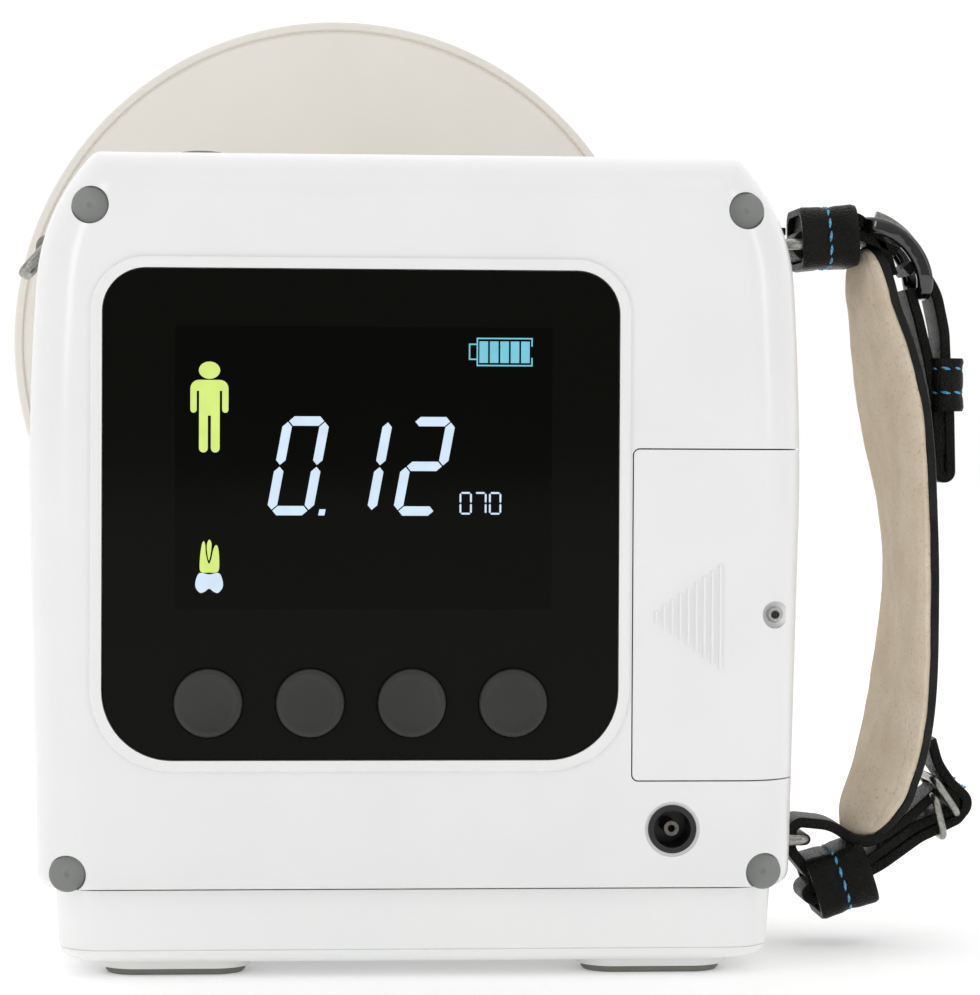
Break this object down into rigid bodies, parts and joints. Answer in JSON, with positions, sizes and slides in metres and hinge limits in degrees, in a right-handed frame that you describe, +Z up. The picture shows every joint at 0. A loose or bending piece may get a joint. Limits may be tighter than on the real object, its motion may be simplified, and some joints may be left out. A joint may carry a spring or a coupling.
{
  "type": "portable dental x-ray unit",
  "caption": "Handheld camera-type dental x-ray unit with a display, push buttons, battery door, beam cone with sliding backscatter shield and buckled leather hand strap.",
  "frame": {"origin": "on the table plane under the feet, midway between the four soles", "axes": "+X to the right of the operator who reads the display, +Y away from the operator along the x-ray beam, +Z up"},
  "size_m": [0.1979, 0.1893, 0.1986],
  "materials": {
    "housing_abs": "glossy moulded white ABS",
    "base_abs": "satin moulded white ABS",
    "plug_tpe": "satin grey elastomer",
    "foot_rubber": "matt grey rubber",
    "window_acrylic": "glossy black printed acrylic",
    "button_silicone": "satin dark grey silicone",
    "tape_foam": "black foam tape",
    "board_laminate": "green solder mask",
    "switch_plastic": "matt black nylon",
    "lcd_glass": "polished liquid crystal cell",
    "steel": "zinc plated steel",
    "brass": "turned brass",
    "bay_abs": "black ABS",
    "battery_sleeve": "blue shrink sleeve",
    "socket_nylon": "black nylon",
    "power_silicone": "satin grey silicone",
    "tank_alloy": "cast aluminium",
    "tube_glass": "clear borosilicate glass",
    "potting": "epoxy potting",
    "lead": "dull cast lead",
    "cone_abs": "satin white lead lined ABS",
    "ring_tpe": "satin grey elastomer",
    "shield_acrylic": "cream leaded acrylic",
    "trigger_silicone": "satin grey silicone",
    "ring_steel": "nickel plated steel",
    "black_leather": "grained black leather",
    "tan_suede": "tan suede",
    "black_enamel": "gloss black enamel"
  },
  "bodies": {
    "housing": {"front_housing": "housing_abs", "rear_housing": "housing_abs", "base_skirt": "base_abs", "bottom_plate": "base_abs", "foot_pads": "foot_rubber", "bottom_screws": "steel", "housing_screws": "steel", "corner_plugs": "plug_tpe", "display_window": "window_acrylic", "window_tape": "tape_foam", "tact_switches": "switch_plastic", "lcd_panel": "lcd_glass", "lcd_frame": "steel", "main_board": "board_laminate", "door_insert": "brass", "battery_bay": "bay_abs", "battery_pack": "battery_sleeve", "battery_contacts": "brass", "dc_socket": "socket_nylon", "dc_pin": "brass", "dc_nut": "steel", "power_switch": "switch_plastic", "tank_casing": "tank_alloy", "tank_cover": "tank_alloy", "x_ray_tube": "tube_glass", "hv_transformer": "potting", "beam_filter": "tank_alloy", "beam_cone": "cone_abs", "lead_collimator": "lead", "cone_end_ring": "ring_tpe", "exposure_bezel": "housing_abs", "exposure_switch": "switch_plastic", "upper_lug": "ring_steel", "lower_lug": "ring_steel", "left_lug": "ring_steel"},
    "display_button_1": {"display_button_1": "button_silicone"},
    "display_button_2": {"display_button_2": "button_silicone"},
    "display_button_3": {"display_button_3": "button_silicone"},
    "display_button_4": {"display_button_4": "button_silicone"},
    "power_button": {"power_button": "power_silicone"},
    "exposure_button": {"exposure_button": "trigger_silicone"},
    "battery_door": {"battery_door": "housing_abs"},
    "door_screw": {"door_screw": "steel"},
    "shield": {"backscatter_shield": "shield_acrylic", "shield_collar": "cone_abs"},
    "left_ring": {"left_ring": "ring_steel"},
    "hand_strap": {"upper_ring": "ring_steel", "lower_ring": "ring_steel", "hand_pad": "black_leather", "pad_lining": "tan_suede", "upper_strap": "black_leather", "upper_keeper": "black_leather", "upper_buckle": "black_enamel", "upper_prong": "ring_steel", "tail_strap": "black_leather", "tail_keeper": "black_leather", "lower_strap": "black_leather", "lower_tab": "black_leather", "lower_keeper": "black_leather", "lower_buckle": "ring_steel"}
  },
  "joints": [
    {"name": "display_button_1_press", "type": "slide", "parent": "housing", "child": "display_button_1", "axis": [0, 1, 0], "range_m": [0, 0.0008], "stiffness_N_per_m": 500, "springref_m": -0.0004},
    {"name": "display_button_2_press", "type": "slide", "parent": "housing", "child": "display_button_2", "axis": [0, 1, 0], "range_m": [0, 0.0008], "stiffness_N_per_m": 500, "springref_m": -0.0004},
    {"name": "display_button_3_press", "type": "slide", "parent": "housing", "child": "display_button_3", "axis": [0, 1, 0], "range_m": [0, 0.0008], "stiffness_N_per_m": 500, "springref_m": -0.0004},
    {"name": "display_button_4_press", "type": "slide", "parent": "housing", "child": "display_button_4", "axis": [0, 1, 0], "range_m": [0, 0.0008], "stiffness_N_per_m": 500, "springref_m": -0.0004},
    {"name": "power_button_press", "type": "slide", "parent": "housing", "child": "power_button", "axis": [0, 0, -1], "range_m": [0, 0.001], "stiffness_N_per_m": 500, "springref_m": -0.0005},
    {"name": "exposure_button_press", "type": "slide", "parent": "housing", "child": "exposure_button", "axis": [0, -1, 0], "range_m": [0, 0.002], "stiffness_N_per_m": 500, "springref_m": -0.0005},
    {"name": "battery_door_lift", "type": "slide", "parent": "housing", "child": "battery_door", "axis": [0, -1, 0], "range_m": [0, 0.02]},
    {"name": "door_screw_turn", "type": "hinge", "parent": "battery_door", "child": "door_screw", "pos_m": [0.0672, -0.0441, 0.0687], "axis": [0, 1, 0], "continuous": true},
    {"name": "shield_slide", "type": "slide", "parent": "housing", "child": "shield", "axis": [0, 1, 0], "range_m": [-0.04, 0.012]},
    {"name": "left_ring_swing", "type": "hinge", "parent": "housing", "child": "left_ring", "pos_m": [-0.0716, 0, 0.1391], "axis": [0, 1, 0], "range_deg": [-18, 110]},
    {"name": "hand_strap_swing", "type": "hinge", "parent": "housing", "child": "hand_strap", "pos_m": [0.0736, 0, 0.0811], "axis": [0, 0, 1], "range_deg": [-20, 20]}
  ]
}
